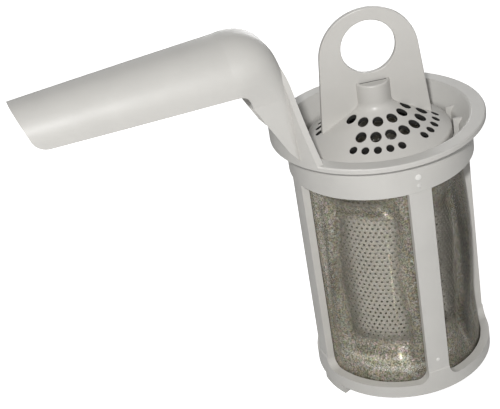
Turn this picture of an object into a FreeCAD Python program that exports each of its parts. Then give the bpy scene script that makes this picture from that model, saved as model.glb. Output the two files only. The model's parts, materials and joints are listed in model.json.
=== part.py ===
"""A dishwasher drain filter: a caged fine mesh with a lever handle, and a coarse insert that lifts out.

Frame: millimetres, +Z up, origin on the axis of the cylinder at the underside of the flange, where the
filter seats on the sump. The lever points along -X. The insert is turned a little about Z in its seat.
"""
import FreeCAD, Part
import os
import math
import Sketcher

V = FreeCAD.Vector
Z_AXIS = V(0, 0, 1)
UPRIGHT = FreeCAD.Rotation(V(0, 1, 0), V(0, 0, 1), V(1, 0, 0), "ZXY")

# name, value in millimetres (degrees where the name says angle), what it is
SIZES = [
    ("tube_radius", 27.9, "outside of the perforated tube, from which the radii follow outwards"),
    ("band_step", 0.45, "how far the collar and the base ring stand proud of the posts"),
    ("frame_wall", 3.85, "outside of the collar to the bore of the cage"),
    ("joint_gap", 0.2, "line between the flange and the collar"),
    ("rebate", 0.1, "rebate in the underside of the flange over the collar"),
    ("fit_gap", 0.15, "radial gap between mouldings that are joined"),
    ("bite", 0.3, "how far one part of a moulding reaches into another"),
    ("margin", 2.0, "how far a cutting shape reaches past what it cuts"),
    ("margin_angle", 1.0, "how far a turned cutting shape reaches past what it cuts"),
    ("collar_height", 15.55, "flange underside to the top of the windows"),
    ("window_height", 96.65, "height of a window"),
    ("base_height", 6.1, "bottom of the windows to the underside of the base ring"),
    ("base_band", 11.0, "height of the proud band round the base"),
    ("band_bevel", 0.4, "bevel from a band down to the posts"),
    ("post_angle", 14.6, "angle that a post takes up"),
    ("window_corner", 5.0, "corner radius at the bottom of a window"),
    ("window_top_corner", 1.2, "corner radius at the top of a window"),
    ("floor_thick", 2.0, "floor of the cage"),
    ("drain_rim", 6.4, "inside of the spigot to the drain hole in the floor"),
    ("spigot_inset", 4.45, "bore of the cage to the outside of the spigot"),
    ("spigot_wall", 1.6, "wall of the spigot"),
    ("foot_depth", 4.2, "spigot and lugs below the base ring"),
    ("lug_angle", 24.0, "angle that a bayonet lug takes up"),
    ("lug_turn_angle", 190.0, "middle of the first lug"),
    ("lug_inset", 0.7, "outside of a lug within the base ring"),
    ("lug_width", 2.9, "radial width of a lug"),
    ("lug_slot", 0.8, "gap between the lug's tongue and the ring"),
    ("lug_root_angle", 11.0, "part of the lug that joins the ring"),
    ("flange_reach", 6.2, "flange beyond the collar"),
    ("flange_thick", 2.2, "thickness of the flange"),
    ("flange_round", 0.6, "rounding of the flange's rim"),
    ("flat_width", 6.0, "width of the flat top of the flange"),
    ("dish_step", 0.7, "step down from the flat to the dish"),
    ("dish_lip", 0.9, "inner edge of that flat to the top of the dish"),
    ("dish_depth", 5.6, "bottom of the dish's slope below the flange underside"),
    ("dish_knee", 3.0, "rounding from the dish to the skirt"),
    ("dish_wall", 1.22, "horizontal wall of the dish's slope"),
    ("skirt_wall", 1.7, "wall of the skirt inside the collar"),
    ("ledge_rise", 2.65, "top of the windows up to the seat of the insert"),
    ("ledge_thick", 1.7, "thickness of the seat"),
    ("ledge_width", 4.2, "width of the seat"),
    ("rib_thick", 1.3, "guide ribs in the dish"),
    ("rib_drop", 3.1, "top of the guide ribs below the flange underside"),
    ("rib_gap", 0.2, "gap between the guide ribs and the insert"),
    ("rib_angle", 21.4, "angle between the two ribs of a pair"),
    ("leg_wall", 2.2, "wall of the lever's leg and grip"),
    ("leg_foot", 26.9, "half width of the leg at the flange"),
    ("leg_taper", 13.8, "how far each side of the leg runs in on its way to the top"),
    ("leg_arch", 17.3, "radius of the arch at the top of the leg"),
    ("leg_rise", 15.8, "top of the leg above the elbow line"),
    ("elbow_stand", 17.5, "edge of the flange to the line that the elbow bends round"),
    ("elbow_low", 6.6, "that line to the grip's lower edges"),
    ("elbow_lip", 5.8, "that line to the free edge in the elbow"),
    ("crown_rise", 1.5, "top of the elbow above the root of the grip"),
    ("crown_flat", 2.0, "flat along the top of the grip"),
    ("leg_sag", 3.8, "how far the leg's inside curves back at the side walls"),
    ("grip_clear", 1.5, "how far the channel is cut past the lever's open edges"),
    ("elbow_half", 17.6, "half width of the lever where it meets the leg"),
    ("grip_length", 86.0, "elbow line to the end of the grip"),
    ("grip_base", 37.6, "height of the grip's lower edges"),
    ("grip_root_deep", 20.1, "grip's lower edges to its top at the elbow"),
    ("grip_middle_deep", 18.2, "the same half way"),
    ("grip_end_deep", 16.1, "the same at its end"),
    ("grip_root_half", 19.0, "half width of the grip at the elbow"),
    ("grip_middle_half", 17.0, "half width of the grip half way"),
    ("grip_end_half", 14.5, "half width of the grip at its end"),
    ("grip_end_slant", 5.5, "slant of the grip's end from its top to its lower edges"),
    ("grip_end_round", 7.0, "rounding of the lower corners at the grip's end"),
    ("gusset_half", 19.6, "half width of the lever's side walls at their foot"),
    ("gusset_end", 28.9, "elbow line to the point where the side walls run out on the leg"),
    ("gusset_flat", 3.9, "side walls past the rounding, down there"),
    ("mesh_thick", 0.3, "thickness of the wire cloth"),
    ("least_flat", 0.1, "least flat at the top of an arch, to each side"),
    ("mesh_dent", 2.0, "depth of a usual dent in the cloth"),
    ("mesh_foot_gap", 0.8, "foot of the cloth above the floor of the cage"),
    ("mesh_gap", 0.2, "cloth to the frame that holds it"),
    ("gusset_angle", 142.7, "turn about the elbow line to where the side walls run out"),
    ("elbow_corner", 6.0, "rounding of the lever's back where it meets the leg"),
    ("insert_angle", -10.3, "turn of the insert in its seat"),
    ("seat_gap", 0.2, "insert above its seat"),
    ("cap_inset", 0.4, "cap inside the edge of that flange"),
    ("cap_wall", 1.8, "wall of the cap"),
    ("cap_rim_drop", 4.4, "shoulder of the cap below the flange underside"),
    ("cap_gap", 0.1, "lower edge of the cap above that flange"),
    ("cap_shoulder", 1.5, "rounding of the cap's shoulder"),
    ("dome_slope", 0.571, "rise of the dome for each millimetre of radius"),
    ("neck_radius", 7.35, "outside of the neck"),
    ("neck_rise", 10.63905, "top of the neck above the dome at its foot"),
    ("neck_flare", 4.0, "hollow rounding at the foot of the neck"),
    ("neck_round", 0.75, "rounding of the neck's top"),
    ("neck_roof", 1.5, "roof of the neck"),
    ("slit_length", 12.0, "slit in the roof of the neck"),
    ("slit_width", 0.8, "width of the slit"),
    ("inner_row_place", 0.225358, "first row of holes, as a part of the way from the neck to the edge"),
    ("inner_row_web", 1.66578, "web between its holes"),
    ("middle_row_place", 0.493661, "second row of holes on that way"),
    ("middle_row_web", 1.50011, "web between its holes"),
    ("outer_row_place", 0.728016, "third row of holes on that way"),
    ("outer_row_web", 1.63946, "web between its holes"),
    ("under_ring_gap", 2.28, "second row of holes to the outside of the ring under the dome"),
    ("under_ring_wall", 1.4, "wall of that ring"),
    ("under_ring_drop", 8.0, "lower edge of that ring"),
    ("plate_thick", 2.5, "thickness of the finger plate"),
    ("plate_height", 52.65, "top of the finger plate"),
    ("plate_taper", 4.75, "how far each side of the plate runs in on its way to the top"),
    ("plate_foot_inset", 7.4, "edge of the cap to the foot of the finger plate"),
    ("plate_arch", 21.2, "radius of the arch of the finger plate"),
    ("finger_hole", 11.7, "radius of the finger hole"),
    ("finger_hole_drop", 17.2, "top of the plate to the centre of the finger hole"),
    ("plate_round", 0.5, "rounding of the finger plate's edges"),
    ("plate_sink", 1.1, "how far the finger plate's foot is let into the dome"),
    ("seat_play", 0.9, "opening in the seat to the tube's collar"),
    ("tube_wall", 0.5, "sheet of the perforated tube"),
    ("stub_height", 2.6, "top of the tube above the flange of its collar"),
    ("tube_clear", 5.8, "foot of the tube above the floor of the cage"),
    ("tube_hole", 1.3, "radius of the tube's holes"),
    ("tube_lip", 1.7, "lip turned in at the tube's lower end"),
    ("tube_round", 0.75, "outside rounding of that lip"),
    ("field_top", 6.0, "collar's lower end to the first row of the tube's holes"),
    ("field_foot", 12.0, "last row of the tube's holes to the tube's foot"),
    ("floor_inner_place", 0.340502, "inner ring of holes in the tube's floor, as a part of its radius"),
    ("floor_outer_place", 0.677419, "outer ring of holes in the same way"),
    ("sleeve_gap", 0.05, "radial gap between the tube and its collar"),
    ("sleeve_wall", 1.55, "wall of the tube's collar"),
    ("sleeve_length", 12.4, "collar on the tube, from its top down"),
    ("seat_lap", 1.8, "flange of the tube's collar over the seat"),
    ("seat_flange_thick", 1.9, "thickness of that flange"),
]

# the turn from one hole to the next in the three rows of the dome
INNER_TURN, MIDDLE_TURN, OUTER_TURN = 28.2, 18.67, 11.5
INNER_ROW = [-14.2 - INNER_TURN * step for step in range(6)]
MIDDLE_ROW = [-10.7 - MIDDLE_TURN * step for step in range(7)]
OUTER_ROW = [-5.7 - OUTER_TURN * step for step in range(5)] + [-79.2 - 11.9 * step for step in range(5)]
WINDOWS = 4
TUBE_HOLES_AROUND = 12
TUBE_HOLE_ROWS = 8
FLOOR_HOLES = (6, 12)
CLOTH_FLAT = 1.5


class Size:
    """A length with its number and the expression that gives it, so that both stay together."""

    def __init__(self, text, number):
        self.text, self.number = text, number

    @staticmethod
    def of(other):
        return other if isinstance(other, Size) else Size(repr(float(other)), float(other))

    def join(self, sign, other, number):
        return Size(f"({self.text} {sign} {Size.of(other).text})", number)

    def __add__(self, other):
        return self.join("+", other, self.number + Size.of(other).number)

    def __sub__(self, other):
        return self.join("-", other, self.number - Size.of(other).number)

    def __mul__(self, other):
        return self.join("*", other, self.number * Size.of(other).number)

    def __truediv__(self, other):
        return self.join("/", other, self.number / Size.of(other).number)

    def __neg__(self):
        return Size(f"(0 - {self.text})", -self.number)


class Sizes:
    """The driving sizes by name."""

    def __init__(self, rows):
        for name, number, _ in rows:
            setattr(self, name, Size(f"Sizes.{name}", float(number)))


S = Sizes(SIZES)
ZERO = Size("0.0", 0.0)
WINDOW_TURN = Size.of(360 / WINDOWS)


def sin(angle):
    return Size(f"sin({angle.text})", math.sin(math.radians(angle.number)))


def cos(angle):
    return Size(f"cos({angle.text})", math.cos(math.radians(angle.number)))


def square_root(size):
    return Size(f"sqrt({size.text})", math.sqrt(size.number))


def smaller(one, other):
    return Size(f"min({one.text}; {other.text})", min(one.number, other.number))


def arch_radius(radius, half, run, rise):
    """The radius of an arch between two sides that run in, no larger than leaves a short flat at its top."""
    slope = (square_root(rise * rise + run * run) + run) / rise
    return smaller(radius, (half - S.least_flat) * slope)


def read(doc, size):
    """The number that a size has in the sheet."""
    return round(float(doc.Sizes.evalExpression(size.text)), 9)


def make_sheet(doc):
    sheet = doc.addObject("Spreadsheet::Sheet", "Sizes")
    for row, (name, number, note) in enumerate(SIZES, start=1):
        sheet.set(f"A{row}", name)
        sheet.set(f"B{row}", str(number))
        sheet.set(f"C{row}", note)
        sheet.setAlias(f"B{row}", name)
    doc.recompute()


# Sketches

def origin_feature(body, role):
    return next(item for item in body.Origin.OriginFeatures if item.Role == role)


def body_sketch(body, name, role):
    sketch = body.newObject("Sketcher::SketchObject", name)
    sketch.AttachmentSupport = (origin_feature(body, role), [""])
    sketch.MapMode = "FlatFace"
    return sketch


class Drawing:
    """Gathers the lines, arcs and dimensions of a sketch, and adds them in one go."""

    def __init__(self, sketch):
        self.sketch, self.geometry, self.marks, self.rules, self.sizes = sketch, [], [], [], {}

    def add(self, shape):
        self.geometry.append(shape)
        return len(self.geometry) - 1

    def rule(self, *parts):
        self.rules.append(Sketcher.Constraint(*parts))

    def size(self, kind, *parts):
        """A dimension whose value follows the sheet: the last of the parts is the size."""
        if parts[-1] is not ZERO:
            self.sizes[len(self.rules)] = parts[-1].text
        self.rule(kind, *parts[:-1], parts[-1].number)

    def fix_point(self, geometry, end, across, up):
        self.size("DistanceX", -1, 1, geometry, end, across)
        self.size("DistanceY", -1, 1, geometry, end, up)

    def circle(self, across, up, radius):
        index = self.add(Part.Circle(V(across.number, up.number, 0), Z_AXIS, radius.number))
        self.fix_point(index, 3, across, up)
        self.size("Radius", index, radius)

    def finish(self):
        self.sketch.addGeometry(self.geometry, False)
        for index in self.marks:
            self.sketch.setConstruction(index, True)
        self.sketch.addConstraint(self.rules)
        for index, text in self.sizes.items():
            self.sketch.setExpression(f"Constraints[{index}]", text)
        return self.sketch


def rounded(before, corner, after, radius):
    """The arc that rounds a corner: its two ends, its centre and whether it turns to the left."""
    back, on = (before - corner).normalize(), (after - corner).normalize()
    half = back.getAngle(on) / 2
    middle = (back + on).normalize()
    centre = corner + middle * (radius / math.sin(half))
    reach = radius / math.tan(half)
    left = (on.cross(back)).z > 0
    return corner + back * reach, corner + on * reach, centre, left


def outline(drawing, corners):
    """A closed outline through corners (across, up) or (across, up, rounding radius)."""
    points = [V(corner[0].number, corner[1].number, 0) for corner in corners]
    count = len(points)
    arrive, leave, arcs, turns, lines = list(points), list(points), {}, {}, []
    for i, corner in enumerate(corners):
        if len(corner) == 3:
            arrive[i], leave[i], centre, left = rounded(
                points[i - 1], points[i], points[(i + 1) % count], corner[2].number)
            arcs[i] = (centre, left)
    for i, corner in enumerate(corners):
        if i in arcs:
            centre, left = arcs[i]
            first, last = (arrive[i], leave[i]) if left else (leave[i], arrive[i])
            full = Part.Circle(centre, Z_AXIS, corner[2].number)
            turns[i] = drawing.add(Part.ArcOfCircle(full, full.parameter(first), full.parameter(last)))
        lines.append(drawing.add(Part.LineSegment(leave[i], arrive[(i + 1) % count])))
    for i, corner in enumerate(corners):
        before, after = lines[i - 1], lines[i]
        if i not in arcs:
            drawing.rule("Coincident", before, 2, after, 1)
            drawing.fix_point(after, 1, corner[0], corner[1])
            continue
        near, far = (1, 2) if arcs[i][1] else (2, 1)
        drawing.rule("Tangent", before, 2, turns[i], near)
        drawing.rule("Tangent", turns[i], far, after, 1)
        drawing.size("Radius", turns[i], corner[2])
        mark = drawing.add(Part.Point(points[i]))
        drawing.marks.append(mark)
        drawing.fix_point(mark, 1, corner[0], corner[1])
        drawing.rule("PointOnObject", mark, 1, before)
        drawing.rule("PointOnObject", mark, 1, after)


def outlined(sketch, corners):
    drawing = Drawing(sketch)
    outline(drawing, corners)
    return drawing.finish()


# Bodies and features

def new_body(doc, name):
    body = doc.addObject("PartDesign::Body", name)
    body.Label = name
    return body


def revolve(body, name, corners, kind="PartDesign::Revolution"):
    sketch = outlined(body_sketch(body, name + "_section", "XZ_Plane"), corners)
    feature = body.newObject(kind, name)
    feature.Profile = sketch
    feature.ReferenceAxis = (sketch, ["V_Axis"])
    feature.Angle = 360
    return feature


def polar(body, name, originals, count):
    pattern = body.newObject("PartDesign::PolarPattern", name)
    pattern.Originals = originals
    pattern.Axis = (origin_feature(body, "Z_Axis"), [""])
    pattern.Angle = 360
    pattern.Occurrences = count
    body.Tip = pattern
    return pattern


def radial_edges(shape, height):
    """Names of the straight edges that lie flat at a height."""
    names = []
    for number, edge in enumerate(shape.Edges, start=1):
        flat = all(abs(vertex.Z - height) < 0.01 for vertex in edge.Vertexes)
        if flat and edge.Curve.TypeId == "Part::GeomLine":
            names.append(f"Edge{number}")
    return names


def turned(sketch, angle):
    """Turns a sketch on the XZ plane about the axis of the cylinder."""
    sketch.AttachmentOffset = FreeCAD.Placement(V(), FreeCAD.Rotation(V(0, 1, 0), angle.number))
    sketch.setExpression("AttachmentOffset.Rotation.Angle", angle.text)


def turned_section(body, name, corners, kind, middle, span):
    """A part turn of a section about Z, spread evenly to both sides of a middle angle."""
    sketch = outlined(body_sketch(body, name + "_section", "XZ_Plane"), corners)
    turned(sketch, middle)
    feature = body.newObject(kind, name)
    feature.Profile = sketch
    feature.ReferenceAxis = (sketch, ["V_Axis"])
    feature.Midplane = True
    feature.Angle = span.number
    feature.setExpression("Angle", span.text)
    return feature


def rectangle(left, right, bottom, top):
    return [(left, bottom), (right, bottom), (right, top), (left, top)]


# Heights and radii that several pieces share

WINDOW_TOP = -S.collar_height
WINDOW_BOTTOM = WINDOW_TOP - S.window_height
BASE = WINDOW_BOTTOM - S.base_height
FOOT = BASE - S.foot_depth
FLOOR_TOP = BASE + S.floor_thick
LEDGE_RADIUS = S.tube_radius + S.sleeve_gap + S.sleeve_wall + S.seat_play
SKIRT_INSIDE = LEDGE_RADIUS + S.ledge_width
SKIRT_OUTSIDE = SKIRT_INSIDE + S.skirt_wall
FRAME_BORE = SKIRT_OUTSIDE + S.fit_gap
BODY_RADIUS = FRAME_BORE + S.frame_wall
POST_RADIUS = BODY_RADIUS - S.band_step
LUG_RADIUS = BODY_RADIUS - S.lug_inset
SPIGOT_RADIUS = FRAME_BORE - S.spigot_inset
DRAIN_RADIUS = SPIGOT_RADIUS - S.spigot_wall - S.drain_rim
FLANGE_RADIUS = BODY_RADIUS + S.flange_reach
FLAT_RADIUS = FLANGE_RADIUS - S.flat_width
DISH_RADIUS = FLAT_RADIUS - S.dish_lip
DISH_TOP = S.flange_thick - S.dish_step
DISH_SLOPE = (DISH_TOP + S.dish_depth) / (DISH_RADIUS - SKIRT_INSIDE)
CONE_FOOT = (S.skirt_wall - S.dish_wall) * DISH_SLOPE - S.dish_depth
CONE_MOUTH = SKIRT_INSIDE + S.dish_wall + S.dish_depth / DISH_SLOPE
LEDGE = WINDOW_TOP + S.ledge_rise
LEDGE_UNDERSIDE = LEDGE - S.ledge_thick
LEG_INSIDE = FLANGE_RADIUS - S.leg_wall
GRIP_ROOT = S.grip_base + S.grip_root_deep
ELBOW_REACH = FLANGE_RADIUS + S.elbow_stand
ELBOW_HEIGHT = S.grip_base - S.elbow_low
GRIP_REACH = ELBOW_REACH + S.grip_length
SEAT_UNDERSIDE = LEDGE + S.seat_gap
SEAT_TOP = SEAT_UNDERSIDE + S.seat_flange_thick
SEAT_FLANGE_RADIUS = LEDGE_RADIUS + S.seat_lap
CAP_RADIUS = SEAT_FLANGE_RADIUS - S.cap_inset
CAP_FOOT = SEAT_TOP + S.cap_gap
MIDDLE_ROW_RADIUS = S.neck_radius + (CAP_RADIUS - S.neck_radius) * S.middle_row_place
TUBE_TOP = SEAT_TOP + S.stub_height
TUBE_FOOT = FLOOR_TOP + S.tube_clear


def dome_height(radius):
    """Height of the dome's outside at a radius."""
    return (CAP_RADIUS - radius) * S.dome_slope - S.cap_rim_drop


def filter_cage(doc):
    """Collar, four posts, base ring with its floor and spigot, and two bayonet lugs, moulded in one."""
    body = new_body(doc, "cage_frame")
    mouth = CONE_MOUTH + S.fit_gap - S.joint_gap / DISH_SLOPE
    band = BASE + S.base_band
    revolve(body, "frame", [
        (mouth, -S.joint_gap),
        (BODY_RADIUS, -S.joint_gap),
        (BODY_RADIUS, WINDOW_TOP),
        (POST_RADIUS, WINDOW_TOP - S.band_bevel),
        (POST_RADIUS, band + S.band_bevel),
        (BODY_RADIUS, band),
        (BODY_RADIUS, BASE, S.band_bevel),
        (SPIGOT_RADIUS, BASE),
        (SPIGOT_RADIUS, FOOT),
        (SPIGOT_RADIUS - S.spigot_wall, FOOT),
        (SPIGOT_RADIUS - S.spigot_wall, BASE),
        (DRAIN_RADIUS, BASE),
        (DRAIN_RADIUS, FLOOR_TOP),
        (FRAME_BORE, FLOOR_TOP),
        (FRAME_BORE, CONE_FOOT),
    ])
    lug = turned_section(
        body, "lug", rectangle(LUG_RADIUS - S.lug_width, LUG_RADIUS, FOOT, BASE + S.bite),
        "PartDesign::Revolution", S.lug_turn_angle, S.lug_angle)
    slot = turned_section(
        body, "lug_slot_cut",
        rectangle(SPIGOT_RADIUS + S.bite, BODY_RADIUS + S.margin, BASE - S.lug_slot, BASE),
        "PartDesign::Groove", S.lug_turn_angle + (S.lug_root_angle + S.margin_angle) / 2,
        S.lug_angle - S.lug_root_angle + S.margin_angle)
    polar(body, "lugs", [lug, slot], 2)
    return cut(doc, "filter_cage", body, window_space(doc))


def window_space(doc):
    """The four windows as solids, with rounded corners, to be cut out of the cage."""
    body = new_body(doc, "window_space")
    turned_section(
        body, "window",
        rectangle(FRAME_BORE - S.margin, BODY_RADIUS + S.margin, WINDOW_BOTTOM, WINDOW_TOP),
        "PartDesign::Revolution", WINDOW_TURN / 2, WINDOW_TURN - S.post_angle)
    doc.recompute()
    for name, height, radius in (("lower_corners", WINDOW_BOTTOM, S.window_corner),
                                 ("upper_corners", WINDOW_TOP, S.window_top_corner)):
        base = body.Tip
        fillet = body.newObject("PartDesign::Fillet", name)
        fillet.Base = (base, radial_edges(base.Shape, height.number))
        fillet.Radius = radius.number
        fillet.setExpression("Radius", radius.text)
        body.Tip = fillet
        doc.recompute()
    pattern = polar(body, "windows", [], WINDOWS)
    pattern.TransformMode = "Whole shape"
    return body


def ring_body(doc):
    """Flange, dish and skirt with the insert's seat, and the guide ribs beside the insert."""
    body = new_body(doc, "ring")
    revolve(body, "ring_turn", [
        (FLANGE_RADIUS, ZERO),
        (FLANGE_RADIUS, S.flange_thick, S.flange_round),
        (FLAT_RADIUS, S.flange_thick, S.flange_round),
        (DISH_RADIUS, DISH_TOP),
        (SKIRT_INSIDE, -S.dish_depth, S.dish_knee),
        (SKIRT_INSIDE, LEDGE),
        (LEDGE_RADIUS, LEDGE),
        (LEDGE_RADIUS, LEDGE_UNDERSIDE),
        (SKIRT_OUTSIDE, LEDGE_UNDERSIDE),
        (SKIRT_OUTSIDE, CONE_FOOT),
        (CONE_MOUTH + S.rebate / DISH_SLOPE, S.rebate),
        (BODY_RADIUS + S.fit_gap, S.rebate),
        (BODY_RADIUS + S.fit_gap, ZERO),
    ])
    inside = SEAT_FLANGE_RADIUS + S.rib_gap
    root = SKIRT_INSIDE + S.skirt_wall / 2
    slope_root = root + (S.dish_depth - S.rib_drop) / DISH_SLOPE
    ribs = []
    for name, half in (("rib_a", -S.rib_angle / 2), ("rib_b", S.rib_angle / 2)):
        sketch = outlined(body_sketch(body, name + "_side", "XZ_Plane"), [
            (inside, LEDGE - S.ledge_thick / 2),
            (root, LEDGE - S.ledge_thick / 2),
            (root, -S.dish_depth),
            (slope_root, -S.rib_drop),
            (inside, -S.rib_drop),
        ])
        turned(sketch, S.insert_angle + half)
        rib = body.newObject("PartDesign::Pad", name)
        rib.Profile = sketch
        rib.SideType = "Symmetric"
        rib.Length = S.rib_thick.number
        rib.setExpression("Length", S.rib_thick.text)
        ribs.append(rib)
    polar(body, "ribs", ribs, 2)
    return body


# The lever

def free_sketch(doc, name, placement, corners, expressions=()):
    sketch = doc.addObject("Sketcher::SketchObject", name)
    sketch.Placement = placement
    for path, size in expressions:
        sketch.setExpression(path, size.text)
    return outlined(sketch, corners)


def lever_section(doc, name, reach, height, angle, edges):
    """One cross-section of the lever: its width lies along Y, its height in the direction of angle from Z.

    edges holds the lower edge, the upper edge, half the width and the rounding of the upper corners.
    """
    low, high, half, corner = edges
    tilt = FreeCAD.Rotation(V(0, 1, 0), angle.number)
    place = FreeCAD.Placement(V(-reach.number, 0, height.number), tilt * UPRIGHT)
    corners = [(-half, low), (half, low), (half, high, corner), (-half, high, corner)]
    return free_sketch(doc, name, place, corners, (
        ("Placement.Base.x", -reach), ("Placement.Base.z", height)))


def loft(doc, name, sections, ruled=False):
    item = doc.addObject("Part::Loft", name)
    item.Sections = sections
    item.Solid = True
    item.Ruled = ruled
    return item


# the elbow's sections: angle from the grip's end of the elbow, then how far the crown has moved from the
# root to its highest and from there to the leg, and how far the width and the rounding have changed
ELBOW = (
    (15, 0.7, 0.0, 0.08, 0.05),
    (30, 1.0, 0.0, 0.22, 0.17),
    (45, 1.0, 0.22, 0.42, 0.36),
    (60, 1.0, 0.65, 0.65, 0.60),
    (75, 1.0, 0.93, 0.86, 0.83),
    (90, 1.0, 1.0, 1.0, 1.0),
)


def lever_shape(doc, name, wall, drop):
    """The lever as a filled bar, a wall's thickness inside its surface; drop lowers its open edges."""
    flat = S.crown_flat / 2
    low = S.elbow_low
    top = low + S.grip_root_deep
    highest = top + S.crown_rise
    round_root = smaller(S.grip_root_half - flat, S.grip_root_deep - flat / 4)
    depth = S.elbow_stand + S.leg_wall + S.leg_sag
    root = (low - drop, top - wall, S.grip_root_half - wall, round_root - wall)
    grip = [lever_section(doc, name + "_root", ELBOW_REACH, ELBOW_HEIGHT, ZERO, root)]
    for station, reach, half, deep in (
            ("middle", (GRIP_REACH + ELBOW_REACH) / 2, S.grip_middle_half, S.grip_middle_deep),
            ("end", GRIP_REACH + drop, S.grip_end_half, S.grip_end_deep)):
        corner = smaller(half - flat, deep - flat / 2) - wall
        edges = (S.grip_base - drop, S.grip_base + deep - wall, half - wall, corner)
        grip.append(lever_section(doc, f"{name}_{station}", reach, ZERO, ZERO, edges))
    bend = [grip[0]]
    for angle, rise, fall, slimmer, squarer in ELBOW:
        lip = low - (low - S.elbow_lip) * fall
        crown = top + S.crown_rise * rise - (highest - depth) * fall
        half = S.grip_root_half - (S.grip_root_half - S.elbow_half) * slimmer
        corner = round_root - (round_root - S.elbow_corner) * squarer
        edges = (lip - drop, crown - wall * (1 - fall), half - wall, corner - wall)
        bend.append(lever_section(
            doc, f"{name}_bend_{angle}", ELBOW_REACH, ELBOW_HEIGHT, Size.of(angle), edges))
    deep = S.gusset_end + S.elbow_corner + S.gusset_flat
    edges = (S.gusset_end - drop, deep, S.gusset_half - wall, S.elbow_corner - wall)
    foot = lever_section(doc, name + "_foot", ELBOW_REACH, ELBOW_HEIGHT, S.gusset_angle, edges)
    return [loft(doc, name + "_grip", grip), loft(doc, name + "_elbow", bend),
            loft(doc, name + "_gusset", [bend[-1], foot], ruled=True)]


def cylinder(doc, name, radius, bottom, height):
    item = doc.addObject("Part::Cylinder", name)
    for path, size in (("Radius", radius), ("Height", height), ("Placement.Base.z", bottom)):
        item.setExpression(path, size.text)
    item.Radius, item.Height = radius.number, height.number
    return item


def joined(doc, name, shapes, refine=True):
    item = doc.addObject("Part::MultiFuse", name)
    item.Shapes = shapes
    item.Refine = refine
    return item


def cut(doc, name, base, tool, refine=True):
    item = doc.addObject("Part::Cut", name)
    item.Base, item.Tool = base, tool
    item.Refine = refine
    return item


def extruded(doc, name, sketch, direction, forward, backward=ZERO):
    item = doc.addObject("Part::Extrusion", name)
    item.Base = sketch
    item.DirMode = "Custom"
    item.Dir = direction
    item.Solid = True
    item.setExpression("LengthFwd", forward.text)
    item.setExpression("LengthRev", backward.text)
    return item


def leg_shape(doc):
    """The leg: a piece of wall in line with the flange's rim, with sloping edges and an arched top."""
    side = FreeCAD.Placement(V(), UPRIGHT)
    foot = S.flange_thick / 2
    top = ELBOW_HEIGHT + S.leg_rise
    top_half = S.leg_foot - S.leg_taper
    arch = arch_radius(S.leg_arch, top_half, S.leg_taper, top - foot)
    sketch = free_sketch(doc, "leg_outline", side, [
        (-S.leg_foot, foot),
        (S.leg_foot, foot),
        (top_half, top, arch),
        (-top_half, top, arch),
    ])
    slab = extruded(doc, "leg_slab", sketch, V(-1, 0, 0), FLANGE_RADIUS + S.margin)
    wall = cut(doc, "leg_wall_ring", cylinder(doc, "leg_outer", FLANGE_RADIUS, ZERO, top),
               cylinder(doc, "leg_inner", LEG_INSIDE, ZERO, top))
    leg = doc.addObject("Part::Common", "leg")
    leg.Base, leg.Tool = slab, wall
    return leg


def grip_end_tool(doc):
    """What is taken off the end of the grip: its slant and the rounding of its lower corners."""
    front = FreeCAD.Placement(V(), FreeCAD.Rotation(V(1, 0, 0), 90))
    above = S.grip_end_deep
    sketch = free_sketch(doc, "grip_end_outline", front, [
        (-GRIP_REACH - S.grip_end_slant, S.grip_base + above * 2),
        (-GRIP_REACH - above, S.grip_base + above * 2),
        (-GRIP_REACH - above, S.grip_base - above),
        (-GRIP_REACH + above * 2, S.grip_base - above),
        (-GRIP_REACH + above * 2, S.grip_base),
        (-GRIP_REACH + S.grip_end_slant, S.grip_base, S.grip_end_round),
    ])
    return extruded(doc, "grip_end_cut", sketch, V(0, 1, 0), S.grip_root_half * 2, S.grip_root_half * 2)


def handle_ring(doc):
    """The flange with its dish and skirt, and the lever that stands on its rim, moulded in one."""
    bar = joined(doc, "bar", lever_shape(doc, "lever", ZERO, ZERO))
    hollow = joined(doc, "hollow", lever_shape(doc, "channel", S.leg_wall, S.grip_clear))
    tall = GRIP_ROOT * 2
    inside = cylinder(doc, "space_in_leg", LEG_INSIDE, -GRIP_ROOT, tall * 2)
    below = cylinder(doc, "space_below", FLANGE_RADIUS * 2, -tall, tall + S.flange_thick / 2)
    solid_bar = cut(doc, "trimmed_bar", bar, joined(doc, "bar_limits", [inside, below]))
    rim = cylinder(doc, "space_in_rim", FLANGE_RADIUS, -GRIP_ROOT, tall * 2)
    channel = cut(doc, "trimmed_channel", hollow, rim)
    lever = cut(doc, "open_lever", joined(doc, "lever_and_leg", [solid_bar, leg_shape(doc)]), channel)
    lever = cut(doc, "ended_lever", lever, grip_end_tool(doc))
    ring = joined(doc, "handle_ring", [ring_body(doc), lever])
    return ring


# The insert

NECK_TOP = dome_height(S.neck_radius) + S.neck_rise


def place_insert(item):
    item.Placement = FreeCAD.Placement(V(), FreeCAD.Rotation(Z_AXIS, S.insert_angle.number))
    item.setExpression("Placement.Rotation.Angle", S.insert_angle.text)
    return item


def hole_row(drawing, angles, ring_radius, turn, web):
    """A row of holes on the front half of the dome and the same row, half a turn on, behind."""
    hole = ring_radius * sin(Size.of(turn / 2)) - web / 2
    for angle in angles:
        for half_turn in (0, 180):
            at = Size.of(angle + half_turn)
            drawing.circle(ring_radius * cos(at), ring_radius * sin(at), hole)


def dome_underside(radius):
    """Height of the dome's inside at a radius."""
    return dome_height(radius) - S.cap_wall * square_root(S.dome_slope * S.dome_slope + 1)


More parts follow.
